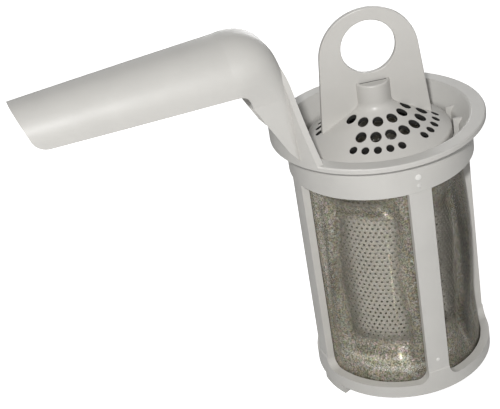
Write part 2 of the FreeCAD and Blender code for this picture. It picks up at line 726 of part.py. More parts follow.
def dome(doc):
    """Dome with its neck and side wall, and its three rows of holes."""
    body = new_body(doc, "dome")
    inner = CAP_RADIUS - S.cap_wall
    bore = S.neck_radius - S.cap_wall
    revolve(body, "dome_turn", [
        (ZERO, NECK_TOP),
        (S.neck_radius, NECK_TOP, S.neck_round),
        (S.neck_radius, dome_height(S.neck_radius), S.neck_flare),
        (CAP_RADIUS, -S.cap_rim_drop, S.cap_shoulder),
        (CAP_RADIUS, CAP_FOOT),
        (inner, CAP_FOOT),
        (inner, dome_underside(inner)),
        (bore, dome_underside(bore)),
        (bore, NECK_TOP - S.neck_roof),
        (ZERO, NECK_TOP - S.neck_roof),
    ])
    rows = Drawing(doc.addObject("Sketcher::SketchObject", "hole_rows"))
    slope = CAP_RADIUS - S.neck_radius
    hole_row(rows, INNER_ROW, S.neck_radius + slope * S.inner_row_place, INNER_TURN, S.inner_row_web)
    hole_row(rows, MIDDLE_ROW, MIDDLE_ROW_RADIUS, MIDDLE_TURN, S.middle_row_web)
    hole_row(rows, OUTER_ROW, S.neck_radius + slope * S.outer_row_place, OUTER_TURN, S.outer_row_web)
    face = -S.plate_thick / 2
    outline(rows, rectangle(-S.slit_length / 2, S.slit_length / 2, face - S.slit_width, face))
    holes = extruded(doc, "holes", rows.finish(), Z_AXIS, S.plate_height, -CAP_FOOT)
    return cut(doc, "dome_with_holes", body, holes, refine=False)


def under_ring(doc):
    """The stiffening ring under the dome, on the outer edge of the middle row of holes."""
    body = new_body(doc, "under_ring")
    outside = MIDDLE_ROW_RADIUS + S.under_ring_gap
    under = outside - S.under_ring_wall
    revolve(body, "under_ring_turn", [
        (under, -S.under_ring_drop),
        (outside, -S.under_ring_drop),
        (outside, dome_underside(outside) + S.bite),
        (under, dome_underside(under) + S.bite),
    ])
    return body


def finger_plate(doc):
    """The upright plate with the finger hole, its foot let into the dome."""
    body = new_body(doc, "finger_plate")
    drawing = Drawing(body_sketch(body, "plate_outline", "XZ_Plane"))
    foot_half = CAP_RADIUS - S.plate_foot_inset
    top_half = foot_half - S.plate_taper
    arch = arch_radius(S.plate_arch, top_half, S.plate_taper, S.plate_height - dome_height(foot_half))
    outline(drawing, [
        (ZERO, dome_height(ZERO) - S.plate_sink),
        (foot_half, dome_height(foot_half) - S.plate_sink),
        (top_half, S.plate_height, arch),
        (-top_half, S.plate_height, arch),
        (-foot_half, dome_height(foot_half) - S.plate_sink),
    ])
    drawing.circle(ZERO, S.plate_height - S.finger_hole_drop, S.finger_hole)
    pad = body.newObject("PartDesign::Pad", "plate")
    pad.Profile = drawing.finish()
    pad.SideType = "Symmetric"
    pad.Length = S.plate_thick.number
    pad.setExpression("Length", S.plate_thick.text)
    doc.recompute()
    fillet = body.newObject("PartDesign::Fillet", "plate_edges")
    fillet.Base = (pad, plate_edges(body.Shape))
    fillet.Radius = S.plate_round.number
    fillet.setExpression("Radius", S.plate_round.text)
    body.Tip = fillet
    return body


def plate_edges(shape):
    """Names of the edges round the faces of the plate, apart from those of its foot."""
    names = []
    face, foot = S.plate_thick.number / 2, dome_height(ZERO).number
    for number, edge in enumerate(shape.Edges, start=1):
        ends = [vertex.Point for vertex in edge.Vertexes]
        on_face = all(abs(abs(point.y) - face) < 0.01 for point in ends)
        across = len({round(point.y) for point in ends}) > 1
        top = max(point.z for point in ends)
        if on_face and not across and top > foot:
            names.append(f"Edge{number}")
    return names


def coarse_cap(doc):
    pieces = [dome(doc), under_ring(doc), finger_plate(doc)]
    return place_insert(joined(doc, "coarse_cap", pieces, refine=False))


def tube_collar(doc):
    """The collar on the tube, whose flange sits on the seat in the skirt and carries the cap."""
    body = new_body(doc, "tube_collar")
    bore = S.tube_radius + S.sleeve_gap
    stub = CAP_RADIUS - S.cap_wall - S.fit_gap
    top = TUBE_TOP + S.tube_wall
    revolve(body, "collar_turn", [
        (bore, top),
        (stub, top),
        (stub, SEAT_TOP),
        (SEAT_FLANGE_RADIUS, SEAT_TOP),
        (SEAT_FLANGE_RADIUS, SEAT_UNDERSIDE),
        (bore + S.sleeve_wall, SEAT_UNDERSIDE),
        (bore + S.sleeve_wall, top - S.sleeve_length),
        (bore, top - S.sleeve_length),
    ])
    return place_insert(body)


def perforated_tube(doc):
    """The tube of perforated sheet, with a lip turned in at its foot."""
    body = new_body(doc, "tube_sheet")
    inner = S.tube_radius - S.tube_wall
    revolve(body, "tube_turn", [
        (S.tube_radius, TUBE_TOP),
        (S.tube_radius, TUBE_FOOT, S.tube_round),
        (inner - S.tube_lip, TUBE_FOOT),
        (inner - S.tube_lip, TUBE_FOOT + S.tube_wall),
        (inner, TUBE_FOOT + S.tube_wall),
        (inner, TUBE_TOP),
    ])
    pins = doc.addObject("Part::Feature", "tube_hole_pins")
    pins.Shape = tube_pins(doc)
    return place_insert(cut(doc, "perforated_tube", body, pins, refine=False))


def tube_pins(doc):
    """Pins through the wall of the tube, in staggered rings."""
    first = read(doc, TUBE_TOP - S.sleeve_length - S.field_top)
    last = read(doc, TUBE_FOOT + S.field_foot)
    start, length = read(doc, S.tube_radius - S.margin), read(doc, S.margin * 2)
    hole = read(doc, S.tube_hole)
    pins = []
    for row in range(TUBE_HOLE_ROWS):
        height = first + (last - first) * row / (TUBE_HOLE_ROWS - 1)
        for step in range(TUBE_HOLES_AROUND):
            angle = math.radians(360 / TUBE_HOLES_AROUND * (step + row % 2 / 2))
            out = V(math.cos(angle), math.sin(angle), 0)
            pins.append(Part.makeCylinder(hole, length, out * start + V(0, 0, height), out))
    return Part.makeCompound(pins)


def tube_floor(doc):
    """The perforated disc that closes the foot of the tube."""
    body = new_body(doc, "tube_floor")
    sketch = body_sketch(body, "floor_outline", "XY_Plane")
    level = TUBE_FOOT + S.tube_wall
    sketch.setExpression("AttachmentOffset.Base.z", level.text)
    drawing = Drawing(sketch)
    drawing.circle(ZERO, ZERO, S.tube_radius - S.tube_wall - S.sleeve_gap)
    for count, place in zip(FLOOR_HOLES, (S.floor_inner_place, S.floor_outer_place)):
        for step in range(count):
            at = Size.of(360 / count * step)
            drawing.circle(S.tube_radius * place * cos(at), S.tube_radius * place * sin(at), S.tube_hole)
    pad = body.newObject("PartDesign::Pad", "floor_sheet")
    pad.Profile = drawing.finish()
    pad.Length = S.tube_wall.number
    pad.setExpression("Length", S.tube_wall.text)
    return place_insert(body)


# The wire cloth

# how far the cloth of each of the four windows is pushed in, in usual dents, from the window over +X +Y
# round to the one over +X -Y, at heights evenly spaced from the cloth's top edge down to its bottom edge
CLOTH_DENTS = (
    (0.00, 0.00, 0.00, 0.00),
    (0.70, 0.55, 0.90, 0.95),
    (1.10, 0.90, 1.40, 1.30),
    (0.85, 0.70, 1.20, 0.90),
    (0.55, 0.50, 1.00, 0.55),
    (0.40, 0.40, 0.85, 0.35),
    (0.30, 0.40, 0.75, 0.30),
    (0.35, 0.45, 0.70, 0.45),
    (0.50, 0.55, 0.75, 0.70),
    (0.75, 0.75, 0.95, 1.05),
    (1.00, 0.90, 1.20, 1.40),
    (0.80, 0.70, 0.90, 1.05),
    (0.35, 0.35, 0.40, 0.45),
    (0.15, 0.15, 0.15, 0.15),
)


def cloth_ring(radius, dents, dent, height, half_post):
    """One turn of the cloth: round behind the posts, flatter by the dent in the middle of each window."""
    quarter = WINDOW_TURN.number
    points = []
    for window in range(WINDOWS):
        start = quarter * window + half_post
        stop = quarter * (window + 1) - half_post
        points.append((start, radius))
        points.append(((start + stop) / 2, radius - dents[window] * dent))
        points.append((stop, radius))
        points.append((quarter * (window + 1), radius))
    at = [V(r * math.cos(math.radians(a)), r * math.sin(math.radians(a)), height) for a, r in points]
    at.append(at[0])
    arcs = [Part.Arc(at[i], at[i + 1], at[i + 2]).toShape() for i in range(0, len(points), 2)]
    return Part.Wire(arcs)


def cloth_shell(radius, levels, dent, half_post):
    rings = [cloth_ring(radius, dents, dent, height, half_post) for height, dents in levels]
    return Part.makeLoft(rings, True, False)


def fine_mesh(doc):
    """The sleeve of fine wire cloth inside the posts, pushed in between them as it is in use."""
    radius = read(doc, FRAME_BORE - S.mesh_gap)
    half_post = read(doc, S.post_angle / 2) + CLOTH_FLAT
    top, bottom = read(doc, LEDGE_UNDERSIDE - S.mesh_gap), read(doc, FLOOR_TOP + S.mesh_foot_gap)
    step = (bottom - top) / (len(CLOTH_DENTS) - 1)
    levels = [(top + step * row, dents) for row, dents in enumerate(CLOTH_DENTS)]
    dent = read(doc, S.mesh_dent)
    outside = cloth_shell(radius, levels, dent, half_post)
    inside = cloth_shell(radius - read(doc, S.mesh_thick), levels, dent, half_post)
    mesh = doc.addObject("Part::Feature", "fine_mesh")
    mesh.Shape = outside.cut(inside)
    return mesh


# The whole part

def check(doc, pieces):
    for item in doc.Objects:
        if {"Invalid", "Error"} & set(item.State):
            raise RuntimeError(f"{item.Name} failed: {item.State}")
    for item in pieces:
        shape = item.Shape
        if shape.isNull() or not shape.isValid() or not shape.Solids:
            raise RuntimeError(f"{item.Label} has no sound solid")


def main():
    doc = FreeCAD.newDocument("drain_filter")
    make_sheet(doc)
    pieces = [make(doc) for make in (handle_ring, filter_cage, fine_mesh, coarse_cap, tube_collar,
                                     perforated_tube, tube_floor)]
    doc.recompute()
    check(doc, pieces)
    os.makedirs("parts", exist_ok=True)
    for item in pieces:
        item.Shape.exportStep(f"parts/{item.Label}.step")
        print(item.Label, len(item.Shape.Solids), round(item.Shape.Volume, 1))


main()
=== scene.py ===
"""The looks of the dishwasher drain filter: finishes, wire cloth, perforated sheet, light, floor and camera.

Metres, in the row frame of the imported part: origin on the axis at the underside of the flange, lever along -X.
"""
import json
import math

import bpy
import bmesh
from mathutils import Matrix, Vector

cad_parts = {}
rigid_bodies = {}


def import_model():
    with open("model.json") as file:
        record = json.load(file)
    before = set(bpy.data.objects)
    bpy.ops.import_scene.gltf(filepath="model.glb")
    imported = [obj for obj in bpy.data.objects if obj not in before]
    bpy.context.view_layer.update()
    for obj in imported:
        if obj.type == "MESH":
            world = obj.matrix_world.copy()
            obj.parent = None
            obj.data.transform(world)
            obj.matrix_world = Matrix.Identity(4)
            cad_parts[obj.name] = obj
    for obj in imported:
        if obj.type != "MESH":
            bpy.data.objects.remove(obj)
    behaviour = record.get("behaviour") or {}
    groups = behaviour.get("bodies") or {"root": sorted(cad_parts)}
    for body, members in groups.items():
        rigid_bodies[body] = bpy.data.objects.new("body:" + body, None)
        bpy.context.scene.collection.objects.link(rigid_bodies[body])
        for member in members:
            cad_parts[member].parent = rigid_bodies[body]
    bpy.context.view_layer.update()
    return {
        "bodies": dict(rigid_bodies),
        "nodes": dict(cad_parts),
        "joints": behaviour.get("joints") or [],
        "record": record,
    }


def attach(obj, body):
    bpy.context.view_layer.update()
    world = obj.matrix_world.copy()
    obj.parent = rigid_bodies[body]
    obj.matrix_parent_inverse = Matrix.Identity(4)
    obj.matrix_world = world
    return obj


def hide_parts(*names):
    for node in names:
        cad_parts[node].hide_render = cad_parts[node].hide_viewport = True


MM = 0.001

# the camera, worked out from the circles and posts in the photograph
CAMERA_AT = (-0.18658, -0.48260, 0.25675)
AZIMUTH, ELEVATION, ROLL = -14.526, 29.068, 10.1
LENS, SENSOR = 96.18, 36.0
SHIFT = (-0.00112, -0.00132)

FLOOR_Z = -0.1225

# the floor, the light (metres and watts) and how strongly the surroundings shine
FLOOR_REACH, FLOOR_GLOW = 6.0, 0.93
SURROUNDINGS = 0.20
LIGHT_AIM = (-0.02, 0.0, -0.03)
# name, place, width and power
LIGHTS = (
    ("flash", (-0.224, -0.491, 0.325), 0.035, 3.05),
    ("back_fill", (0.300, 0.750, 0.080), 0.4, 1.8),
)

# finishes: colour and, for the plastics, roughness
BODY_FINISH = (0.55, 0.538, 0.51), 0.42
INSERT_FINISH = (0.565, 0.55, 0.52), 0.32
# the moulding marks' plastics: smoother, and lighter as a painted highlight, the second one fainter
MARK_HIGHLIGHT_FINISH = (0.74, 0.73, 0.70), 0.22
FAINT_MARK_HIGHLIGHT_FINISH = (0.62, 0.61, 0.585), 0.35
STEEL_COLOUR = (0.58, 0.55, 0.49)
CLOTH_COLOUR = (0.41, 0.38, 0.30)
WORN = 0.04

# painted shade for the dark line at the slit in the neck's roof, where the slit lies in shadow: middle and half size
# in metres, in the insert's own turn in degrees
INSERT_TURN = 10.3
SLIT_AT, SLIT_HALF = (0.0, -0.00225, 0.019), (0.0058, 0.0004, 0.0025)
SLIT_DARKNESS = 0.94

# from here on millimetres and degrees
# the dome's outside is the cone height + slope * radius = level; its holes lie between two radii, and painted shade
# darkens them from the first to the second depth below the outside on, where their insides lie in shadow
DOME_SLOPE, DOME_LEVEL = 0.571, 13.75
DOME_HOLES = (9.3, 27.6)
HOLE_DEPTHS = (0.15, 0.45)
HOLE_DARKNESS = 0.95

# moulding marks on the cage, raised and smoother, in a lighter colour that is a painted highlight: angle, height,
# radius of the wall, radius of the mark
UPPER_MARK = (-90.7, -8.8, 40.3, 1.4)
MIDDLE_MARK = (-90.7, -12.7, 40.3, 1.0)
LOWER_MARK = (-90.1, -101.4, 39.85, 0.9)
# their section: share of the mark's radius and height above the wall, and the height of its middle
MARK_SECTION = ((1.0, -0.15), (1.0, 0.03), (0.85, 0.10), (0.6, 0.17), (0.3, 0.21))
MARK_TOP, MARK_SIDES = 0.22, 20

# the perforated sheet of the tube and its floor
TUBE_R, TUBE_WALL = 27.9, 0.5
TUBE_TOP, TUBE_FOOT = -8.2, -110.5
TUBE_LIP, TUBE_ROUND = 1.7, 0.75
HOLES_ROUND, ROW_STEP, ROWS = 73, 2.08, 42
FIRST_ROW, FIRST_PHASE = -22.54, -153.2
SHEET_HOLE, HOLE_SIDES = 0.57, 10
FLOOR_R, FLOOR_LEVEL, FLOOR_PITCH = 27.35, -110.0, 2.4
FLOOR_EDGE, FLOOR_SIDES, FLOOR_HOLE_SIDES = 1.5, 96, 8
HEX_ROW = 0.866

# the wire cloth: radius and thickness, ends, points round and rows, pitch of the wires, half the angle that a post
# covers, and the least gap to the tube
CLOTH_R, CLOTH_THICK = 36.25, 0.3
CLOTH_TOP, CLOTH_BOTTOM = -14.8, -115.5
CLOTH_AROUND, CLOTH_ROWS = 400, 118
WIRE_PITCH = 0.32
HALF_POST = 8.8
CLEAR_OF_TUBE = 0.8

# The windows are counted from +X on, a quarter turn each.
# where the cloth is pressed towards the tube in each of them: from and to angle, top and foot
PRESSED = ((30, 58, -32, -86), (122, 149, -34, -88), (203, 253, -31, -95), (278, 304, -33, -92))
PRESS_DEPTH = 3.2
# its sides wander by an angle, and it fades from outside to inside of its edges, in its depth more softly than in its
# openness
PRESS_WANDER, PRESS_WAVE = 1.5, 9.0
SIDE_OUT, SIDE_IN = 4, 3
TOP_OUT, TOP_IN, FOOT_IN = 1.5, 2.5, 3.0
OPEN_FADE, DEPTH_FADE = 3.0, 15.0
# how open the cloth is where it stands free, and how much more so where it is pressed, in each window
CLOTH_CLOSED = -0.6
PRESSED_OPEN = (0.9, 0.9, 1.52, 1.57)
# how bright it is where it stands free, how much more so where it is pressed, and at least
CLOTH_SHADE, PRESSED_SHADE, LEAST_SHADE = 0.85, 0.2, 0.2
# painted shade, painted highlights and darker patches of the cloth: angle, height, half width in degrees, half height
# in mm, lean in degrees a millimetre, and what each adds to the openness and to the brightness; the brightness is
# painted light
CLOTH_MARKS = (
    # painted shade in bands above and below the pressed part, where the cloth slopes, and the more open strip above
    # it
    (230, -28.0, 30, 2.6, 0.0, -0.60, -0.30),
    (230, -99.0, 30, 2.2, 0.0, -0.35, -0.34),
    (228, -21.0, 22, 3.2, 0.0, 1.90, 0.10),
    # painted highlights: a bright line at its foot and sparkles
    (220, -102.3, 16, 0.9, 0.0, -0.20, 0.45),
    (246, -100.4, 1.6, 1.4, 0.0, -0.30, 1.70),
    (247, -27.6, 1.5, 1.2, 0.0, -0.30, 1.90),
    (250, -29.4, 1.3, 1.1, 0.0, -0.30, 1.60),
    (243, -24.6, 1.2, 1.0, 0.0, -0.30, 1.20),
    # upright creases: a painted highlight along one, painted shade in the darker ones and a painted lighter ridge
    (246, -62.0, 1.0, 24, 0.0, -0.70, 0.75),
    (198.5, -58.0, 2.4, 32, 0.0, -0.20, -0.34),
    (193, -58.0, 2.4, 34, 0.0, 0.0, 0.16),
    (259, -60.0, 3.5, 34, 0.0, -0.20, -0.16),
    (311, -60.0, 3.6, 30, 0.0, -0.20, -0.34),
    # painted highlight on a ridge and painted shade in a hollow low in the right window, and its darker cloth
    (303, -102.0, 1.8, 9, -0.25, -0.20, 0.45),
    (309, -95.0, 3.5, 9, 0.0, -0.20, -0.30),
    (315, -60.0, 34, 80, 0.0, 0.0, -0.50),
)
# folds in each window: place from its middle and width in degrees, depth in mm, drift in degrees
FOLDS = (
    ((-27, 4, 0.8, 2), (28, 4, 0.9, -2)),
    ((-25, 4, 0.9, 2), (25, 5, 0.8, 2)),
    ((-33, 2.2, 0.7, 1), (-27, 2.5, -0.7, 1.5), (31, 3, 0.7, 1)),
    ((-8, 4, 0.8, 3), (4, 3, -0.9, 3), (14, 5, 1.0, 4)),
)
# how far the folds fade out beside the posts and at the cloth's foot and top, and the length of their drift
FOLD_FADE, FOLD_FOOT, FOLD_TOP, FOLD_WAVE = 9, 16, 12, 14.0
# depth of the dent in the middle of each window, at even steps from the cloth's top to its bottom
LEAST_DENT = 0.001
CLOTH_DENTS = (
    (0.0, 0.0, 0.0, 0.0),
    (1.4, 1.1, 1.8, 1.9),
    (2.2, 1.8, 2.8, 2.6),
    (1.7, 1.4, 2.4, 1.8),
    (1.1, 1.0, 2.0, 1.1),
    (0.8, 0.8, 1.7, 0.7),
    (0.6, 0.8, 1.5, 0.6),
    (0.7, 0.9, 1.4, 0.9),
    (1.0, 1.1, 1.5, 1.4),
    (1.5, 1.5, 1.9, 2.1),
    (2.0, 1.8, 2.4, 2.8),
    (1.6, 1.4, 1.8, 2.1),
    (0.7, 0.7, 0.8, 0.9),
    (0.3, 0.3, 0.3, 0.3),
)


# Materials

def new_material(name):
    """A material without nodes, and a function that adds a node to it and links the sockets among its inputs."""
    material = bpy.data.materials.new(name)
    material.use_nodes = True
    tree = material.node_tree
    tree.nodes.clear()

    def node(kind, inputs=(), **settings):
        made = tree.nodes.new(kind)
        for key, value in settings.items():
            setattr(made, key, value)
        for key, value in dict(inputs).items():
            if isinstance(value, bpy.types.NodeSocket):
                tree.links.new(value, made.inputs[key])
            else:
                made.inputs[key].default_value = value
        return made

    return material, node


def math_node(node, kind, first, second=0.0):
    return node("ShaderNodeMath", {0: first, 1: second}, operation=kind).outputs[0]


def slit_painted_shade(node, place):
    """Painted shade along the slit in the neck's roof, a dark line where the slit lies in shadow: the part of the
    light that is left, 1 beside it.
    """
    turned = node("ShaderNodeVectorRotate", {"Vector": place, "Angle": math.radians(INSERT_TURN)},
                  rotation_type="Z_AXIS")
    off = node("ShaderNodeVectorMath", {0: turned.outputs[0], 1: SLIT_AT}, operation="SUBTRACT")
    off = node("ShaderNodeVectorMath", {0: off.outputs[0]}, operation="ABSOLUTE")
    split = node("ShaderNodeSeparateXYZ", {0: off.outputs[0]})
    inside = 1.0
    for axis, half in enumerate(SLIT_HALF):
        inside = math_node(node, "MULTIPLY", math_node(node, "LESS_THAN", split.outputs[axis], half), inside)
    return math_node(node, "SUBTRACT", 1.0, math_node(node, "MULTIPLY", inside, SLIT_DARKNESS))


def hole_painted_shade(node, place):
    """Painted shade in the dome's holes, dark below their rims where their insides lie in shadow: the part of the
    light that is left, 1 on its outside.
    """
    flat = node("ShaderNodeVectorMath", {0: place, 1: (1.0, 1.0, 0.0)}, operation="MULTIPLY")
    reach = node("ShaderNodeVectorMath", {0: flat.outputs[0]}, operation="LENGTH").outputs["Value"]
    height = node("ShaderNodeSeparateXYZ", {0: place}).outputs[2]
    level = math_node(node, "ADD", height, math_node(node, "MULTIPLY", reach, DOME_SLOPE))
    light_above, dark_below = ((DOME_LEVEL - depth) * MM for depth in HOLE_DEPTHS)
    rim = node("ShaderNodeMapRange", {"Value": level, "From Min": dark_below, "From Max": light_above,
                                      "To Min": HOLE_DARKNESS, "To Max": 0.0})
    first, last = DOME_HOLES
    off = math_node(node, "ABSOLUTE", math_node(node, "SUBTRACT", reach, (first + last) / 2 * MM))
    within = math_node(node, "LESS_THAN", off, (last - first) / 2 * MM)
    return math_node(node, "SUBTRACT", 1.0, math_node(node, "MULTIPLY", within, rim.outputs[0]))


def plastic(name, colour, roughness, painted_shades=()):
    """Light grey polypropylene: satin, a little uneven in tone, with a fine grain, and darkened by the painted shade
    it is given.
    """
    material, node = new_material(name)
    place = node("ShaderNodeTexCoord").outputs["Object"]
    cloud = node("ShaderNodeTexNoise", {"Vector": place, "Scale": 55.0, "Detail": 4.0, "Roughness": 0.6})
    grain = node("ShaderNodeTexNoise", {"Vector": place, "Scale": 900.0, "Detail": 3.0, "Roughness": 0.6})
    tone = node("ShaderNodeMapRange", {"Value": cloud.outputs["Fac"], "From Min": 0.3, "From Max": 0.7,
                                       "To Min": 1.0 - WORN, "To Max": 1.0 + WORN * 0.4})
    light = tone.outputs[0]
    # painted shade, multiplied into the colour where shadows fall
    for painted_shade in painted_shades:
        light = math_node(node, "MULTIPLY", light, painted_shade(node, place))
    tint = node("ShaderNodeVectorMath", {0: colour, "Scale": light}, operation="SCALE")
    gloss = node("ShaderNodeMapRange", {"Value": cloud.outputs["Fac"], "From Min": 0.3, "From Max": 0.7,
                                        "To Min": roughness + 0.05, "To Max": roughness - 0.04})
    bump = node("ShaderNodeBump", {"Height": grain.outputs["Fac"], "Strength": 0.12, "Distance": 0.0002})
    shader = node("ShaderNodeBsdfPrincipled", {
        "Base Color": tint.outputs[0], "Roughness": gloss.outputs[0], "Normal": bump.outputs[0],
        "IOR": 1.49, "Specular IOR Level": 0.42})
    node("ShaderNodeOutputMaterial", {"Surface": shader.outputs[0]})
    return material


def sheet_metal(name, colour):
    """Punched stainless sheet: dull, with a fine mill grain."""
    material, node = new_material(name)
    place = node("ShaderNodeTexCoord").outputs["Object"]
    cloud = node("ShaderNodeTexNoise", {"Vector": place, "Scale": 160.0, "Detail": 3.0})
    tone = node("ShaderNodeMapRange", {"Value": cloud.outputs["Fac"], "To Min": 0.85, "To Max": 1.1})
    tint = node("ShaderNodeVectorMath", {0: colour, "Scale": tone.outputs[0]}, operation="SCALE")
    shader = node("ShaderNodeBsdfPrincipled", {
        "Base Color": tint.outputs[0], "Metallic": 0.75, "Roughness": 0.42})
    node("ShaderNodeOutputMaterial", {"Surface": shader.outputs[0]})
    return material


def wire_cloth(name, colour):
    """Plain woven wire: metal wires with clear gaps between them, from the map in metres."""
    material, node = new_material(name)
    split = node("ShaderNodeSeparateXYZ", {0: node("ShaderNodeUVMap", uv_map="cloth").outputs[0]})
    turns = 2 * math.pi / (WIRE_PITCH * MM)
    waves, weaves = [], []
    for axis in (0, 1):
        along = math_node(node, "MULTIPLY", split.outputs[axis], turns)
        waves.append(math_node(node, "COSINE", along))
        weaves.append(math_node(node, "COSINE", math_node(node, "MULTIPLY", along, 0.5)))
    over = math_node(node, "MULTIPLY", weaves[0], weaves[1])
    warp = math_node(node, "ADD", waves[0], math_node(node, "MULTIPLY", over, 0.5))
    weft = math_node(node, "SUBTRACT", waves[1], math_node(node, "MULTIPLY", over, 0.5))
    height = math_node(node, "MAXIMUM", warp, weft)
    gap = node("ShaderNodeAttribute", attribute_name="gap", attribute_type="GEOMETRY").outputs["Fac"]
    shade = node("ShaderNodeAttribute", attribute_name="shade", attribute_type="GEOMETRY").outputs["Fac"]
    wire = math_node(node, "GREATER_THAN", math_node(node, "MAXIMUM", waves[0], waves[1]), gap)
    place = node("ShaderNodeTexCoord").outputs["Object"]
    specks = node("ShaderNodeTexNoise", {"Vector": place, "Scale": 1500.0, "Detail": 2.0})
    glints = node("ShaderNodeTexVoronoi", {"Vector": place, "Scale": 900.0})
    stains = node("ShaderNodeTexNoise", {"Vector": place, "Scale": 70.0, "Detail": 4.0})
    tone = node("ShaderNodeMapRange", {"Value": specks.outputs["Fac"], "From Min": 0.36, "From Max": 0.64,
                                       "To Min": 0.45, "To Max": 1.45})
    stain = node("ShaderNodeMapRange", {"Value": stains.outputs["Fac"], "From Min": 0.3, "From Max": 0.7,
                                        "To Min": 0.8, "To Max": 1.12})
    light = math_node(node, "MULTIPLY", tone.outputs[0], stain.outputs[0])
    # the shade attribute brings in painted shade and painted highlights
    light = math_node(node, "MULTIPLY", light, shade)
    turned = node("ShaderNodeVectorMath", {0: glints.outputs["Color"], 1: (0.5, 0.5, 0.5)}, operation="SUBTRACT")
    hue = node("ShaderNodeVectorMath", {0: turned.outputs[0], 1: (0.10, 0.05, 0.10), 2: colour},
               operation="MULTIPLY_ADD")
    tint = node("ShaderNodeVectorMath", {0: hue.outputs[0], "Scale": light}, operation="SCALE")
    spread = node("ShaderNodeVectorMath", {0: turned.outputs[0], "Scale": 0.28}, operation="SCALE")
    facing = node("ShaderNodeNewGeometry").outputs["Normal"]
    tilted = node("ShaderNodeVectorMath", {0: facing, 1: spread.outputs[0]}, operation="ADD")
    level = node("ShaderNodeVectorMath", {0: tilted.outputs[0]}, operation="NORMALIZE")
    bump = node("ShaderNodeBump", {"Height": height, "Strength": 0.4, "Distance": 0.00006,
                                   "Normal": level.outputs[0]})
    metal = node("ShaderNodeBsdfPrincipled", {
        "Base Color": tint.outputs[0], "Metallic": 0.65, "Roughness": 0.4, "Normal": bump.outputs[0]})
    clear = node("ShaderNodeBsdfTransparent")
    mix = node("ShaderNodeMixShader", {0: wire, 1: clear.outputs[0], 2: metal.outputs[0]})
    node("ShaderNodeOutputMaterial", {"Surface": mix.outputs[0]})
    return material


def clear_side(name):
    """The inner side of the cloth, left clear so that the cloth reads as a single layer of wires."""
    material, node = new_material(name)
    clear = node("ShaderNodeBsdfTransparent")
    node("ShaderNodeOutputMaterial", {"Surface": clear.outputs[0]})
    return material


def floor_material(name, glow):
    """White floor that stays white for the camera and keeps a soft shadow."""
    material, node = new_material(name)
    diffuse = node("ShaderNodeBsdfDiffuse", {"Color": (0.86, 0.86, 0.86, 1.0)})
    seen = node("ShaderNodeLightPath").outputs["Is Camera Ray"]
    glowing = node("ShaderNodeEmission", {"Color": (1.0, 1.0, 1.0, 1.0),
                                          "Strength": math_node(node, "MULTIPLY", seen, glow)})
    both = node("ShaderNodeAddShader", {0: diffuse.outputs[0], 1: glowing.outputs[0]})
    node("ShaderNodeOutputMaterial", {"Surface": both.outputs[0]})
    return material


# Meshes

def new_object(name, data):
    """An object in the scene that shows the data."""
    made = bpy.data.objects.new(name, data)
    bpy.context.scene.collection.objects.link(made)
    return made


def polar_point(radius, angle, height):
    return (radius * math.cos(math.radians(angle)) * MM, radius * math.sin(math.radians(angle)) * MM, height * MM)


def mesh_piece(name, points, faces, materials, body, face_slots=None, smooth=True):
    """Makes an object from points and faces, and lets it ride on a body of the part."""
    mesh = bpy.data.meshes.new(name)
    mesh.from_pydata(points, [], faces)
    for material in materials:
        mesh.materials.append(material)
    mesh.polygons.foreach_set("use_smooth", [smooth] * len(mesh.polygons))
    if face_slots is not None:
        mesh.polygons.foreach_set("material_index", face_slots)
    mesh.update()
    made = new_object(name, mesh)
    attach(made, body)
    return made


def smooth_row(values, at):
    """A smooth curve through evenly spaced values, at a place counted in steps."""
    last = len(values) - 1
    k = min(int(at), last - 1)
    t = at - k
    a, b, c, d = (values[min(max(k + i, 0), last)] for i in (-1, 0, 1, 2))
    return 0.5 * (2 * b + (c - a) * t + (2 * a - 5 * b + 4 * c - d) * t * t + (3 * b - a - 3 * c + d) * t ** 3)


def step_up(low, high, value):
    """0 below low, 1 above high, smooth between."""
    t = min(max((value - low) / (high - low), 0.0), 1.0)
    return t * t * (3 - 2 * t)


def hump(middle, width, value):
    return math.exp(-((value - middle) / width) ** 2)


def pressed(angle, height, soft):
    """How far the cloth is pushed towards the tube: 0 where it stands free, 1 where it lies nearest to it."""
    window = int(angle % 360 // 90)
    left, right, top, foot = PRESSED[window]
    at = angle % 360 + PRESS_WANDER * math.sin(height / PRESS_WAVE + window)
    across = step_up(left - SIDE_OUT, left + SIDE_IN, at) * (1 - step_up(right - SIDE_IN, right + SIDE_OUT, at))
    along = (1 - step_up(top - TOP_IN, top + TOP_OUT + soft, height)) * step_up(foot - soft, foot + FOOT_IN, height)
    return across * along


def folds(angle, height):
    """Small folds and waves of the cloth, in millimetres."""
    angle %= 360
    window = int(angle // 90)
    edge = step_up(0, FOLD_FADE, 45 - HALF_POST - abs(angle % 90 - 45))
    calm = step_up(CLOTH_BOTTOM, CLOTH_BOTTOM + FOLD_FOOT, height)
    calm *= 1 - step_up(CLOTH_TOP - FOLD_TOP, CLOTH_TOP, height)
    middle = 90 * window + 45
    wave = 0.0
    for place, width, reach, drift in FOLDS[window]:
        wave += reach * hump(middle + place + drift * math.sin(height / FOLD_WAVE + place), width, angle)
    return edge * calm * wave


def cloth_marks(angle, height):
    """What the painted shade, painted highlights and darker patches add to the openness and to the brightness of the
    cloth.
    """
    opened = shaded = 0.0
    for place, level, wide, tall, lean, more, tone in CLOTH_MARKS:
        weight = hump(place + lean * (height - level), wide, angle) * hump(level, tall, height)
        opened += more * weight
        shaded += tone * weight
    return opened, shaded


